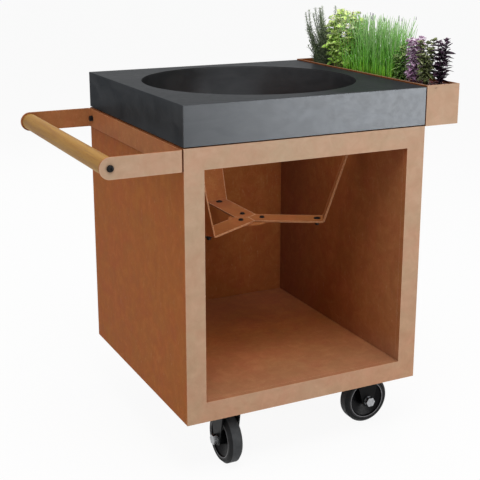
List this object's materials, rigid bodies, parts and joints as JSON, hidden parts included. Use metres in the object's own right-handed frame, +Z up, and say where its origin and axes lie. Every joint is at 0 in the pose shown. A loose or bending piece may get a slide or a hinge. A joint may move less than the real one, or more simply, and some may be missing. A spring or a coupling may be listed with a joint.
{
  "type": "kamado grill table",
  "caption": "Wheeled outdoor grill table: open weathering-steel cabinet, black worktop with a round grill hole over a strap cradle, wooden push handle, herb planter, swivel casters.",
  "frame": {"origin": "on the floor under the middle of the whole table, handle and planter included", "axes": "+X to the table's right (planter side), +Y to its back, +Z up; the open front faces -Y"},
  "size_m": [0.909, 0.636, 1.046],
  "materials": {
    "weathering_steel": "matt rust patina",
    "black_coat": "satin powder coat",
    "black_fastener": "black oxide",
    "zinc": "zinc plated",
    "black_fork": "black coated pressing",
    "tyre": "matt black rubber",
    "wheel_plastic": "moulded",
    "pad_rubber": "matt",
    "hardwood": "oiled",
    "soil": "loose potting soil",
    "leaf_green": "living leaves",
    "leaf_purple": "living leaves",
    "leaf_grey_green": "living needles"
  },
  "bodies": {
    "table": {"front_frame": "weathering_steel", "left_side_panel": "weathering_steel", "right_side_panel": "weathering_steel", "back_panel": "weathering_steel", "left_liner": "weathering_steel", "right_liner": "weathering_steel", "floor_panel": "weathering_steel", "bottom_panel": "weathering_steel", "top_deck": "weathering_steel", "cradle_arm_back": "weathering_steel", "cradle_arm_left": "weathering_steel", "cradle_arm_right": "weathering_steel", "cradle_hub_plate": "weathering_steel", "handle_bracket": "weathering_steel", "planter_box": "weathering_steel", "worktop": "black_coat", "worktop_ring": "black_coat", "worktop_corner_plates": "black_coat", "worktop_screws": "black_fastener", "cradle_bolts": "black_fastener", "cradle_rest_bolts": "black_fastener", "cradle_nuts": "black_fastener", "handle_bar_bolts": "black_fastener", "handle_mount_bolts": "black_fastener", "handle_mount_nuts": "black_fastener", "planter_bolts": "black_fastener", "worktop_pads": "pad_rubber", "planter_spacers": "pad_rubber", "handle_bar": "hardwood", "planter_soil": "soil", "herb_green_basil": "leaf_green", "herb_chives": "leaf_green", "herb_parsley": "leaf_green", "herb_purple_basil": "leaf_purple", "herb_rosemary": "leaf_grey_green", "caster_plates": "zinc", "caster_kingpins": "zinc", "caster_ball_rings": "zinc", "caster_studs": "zinc", "caster_nuts": "zinc"},
    "front_left_swivel": {"caster_front_left_fork": "black_fork", "caster_front_left_axle": "zinc"},
    "front_left_wheel": {"caster_front_left_tyre": "tyre", "caster_front_left_wheel_core": "wheel_plastic"},
    "front_right_swivel": {"caster_front_right_fork": "black_fork", "caster_front_right_axle": "zinc"},
    "front_right_wheel": {"caster_front_right_tyre": "tyre", "caster_front_right_wheel_core": "wheel_plastic"},
    "rear_left_swivel": {"caster_rear_left_fork": "black_fork", "caster_rear_left_axle": "zinc", "caster_rear_left_brake_pin": "zinc"},
    "rear_left_wheel": {"caster_rear_left_tyre": "tyre", "caster_rear_left_wheel_core": "wheel_plastic"},
    "rear_left_pedal": {"caster_rear_left_brake_pedal": "black_fork"},
    "rear_right_swivel": {"caster_rear_right_fork": "black_fork", "caster_rear_right_axle": "zinc", "caster_rear_right_brake_pin": "zinc"},
    "rear_right_wheel": {"caster_rear_right_tyre": "tyre", "caster_rear_right_wheel_core": "wheel_plastic"},
    "rear_right_pedal": {"caster_rear_right_brake_pedal": "black_fork"}
  },
  "joints": [
    {"name": "front_left_swivel_turn", "type": "hinge", "parent": "table", "child": "front_left_swivel", "pos_m": [-0.1425, -0.218, 0.1475], "axis": [0, 0, 1], "continuous": true},
    {"name": "front_left_wheel_roll", "type": "hinge", "parent": "front_left_swivel", "child": "front_left_wheel", "pos_m": [-0.1425, -0.2555, 0.0625], "axis": [1, 0, 0], "continuous": true},
    {"name": "front_right_swivel_turn", "type": "hinge", "parent": "table", "child": "front_right_swivel", "pos_m": [0.2345, -0.218, 0.1475], "axis": [0, 0, 1], "continuous": true},
    {"name": "front_right_wheel_roll", "type": "hinge", "parent": "front_right_swivel", "child": "front_right_wheel", "pos_m": [0.272, -0.218, 0.0625], "axis": [0, 1, 0], "continuous": true},
    {"name": "rear_left_swivel_turn", "type": "hinge", "parent": "table", "child": "rear_left_swivel", "pos_m": [-0.1425, 0.218, 0.1475], "axis": [0, 0, 1], "continuous": true},
    {"name": "rear_left_wheel_roll", "type": "hinge", "parent": "rear_left_swivel", "child": "rear_left_wheel", "pos_m": [-0.105, 0.218, 0.0625], "axis": [0, 1, 0], "continuous": true},
    {"name": "rear_left_brake_press", "type": "hinge", "parent": "rear_left_swivel", "child": "rear_left_pedal", "pos_m": [-0.0845, 0.218, 0.131], "axis": [0, 1, 0], "range_deg": [0, 9.5]},
    {"name": "rear_right_swivel_turn", "type": "hinge", "parent": "table", "child": "rear_right_swivel", "pos_m": [0.2345, 0.218, 0.1475], "axis": [0, 0, 1], "continuous": true},
    {"name": "rear_right_wheel_roll", "type": "hinge", "parent": "rear_right_swivel", "child": "rear_right_wheel", "pos_m": [0.272, 0.218, 0.0625], "axis": [0, 1, 0], "continuous": true},
    {"name": "rear_right_brake_press", "type": "hinge", "parent": "rear_right_swivel", "child": "rear_right_pedal", "pos_m": [0.2925, 0.218, 0.131], "axis": [0, 1, 0], "range_deg": [0, 9.5]}
  ]
}
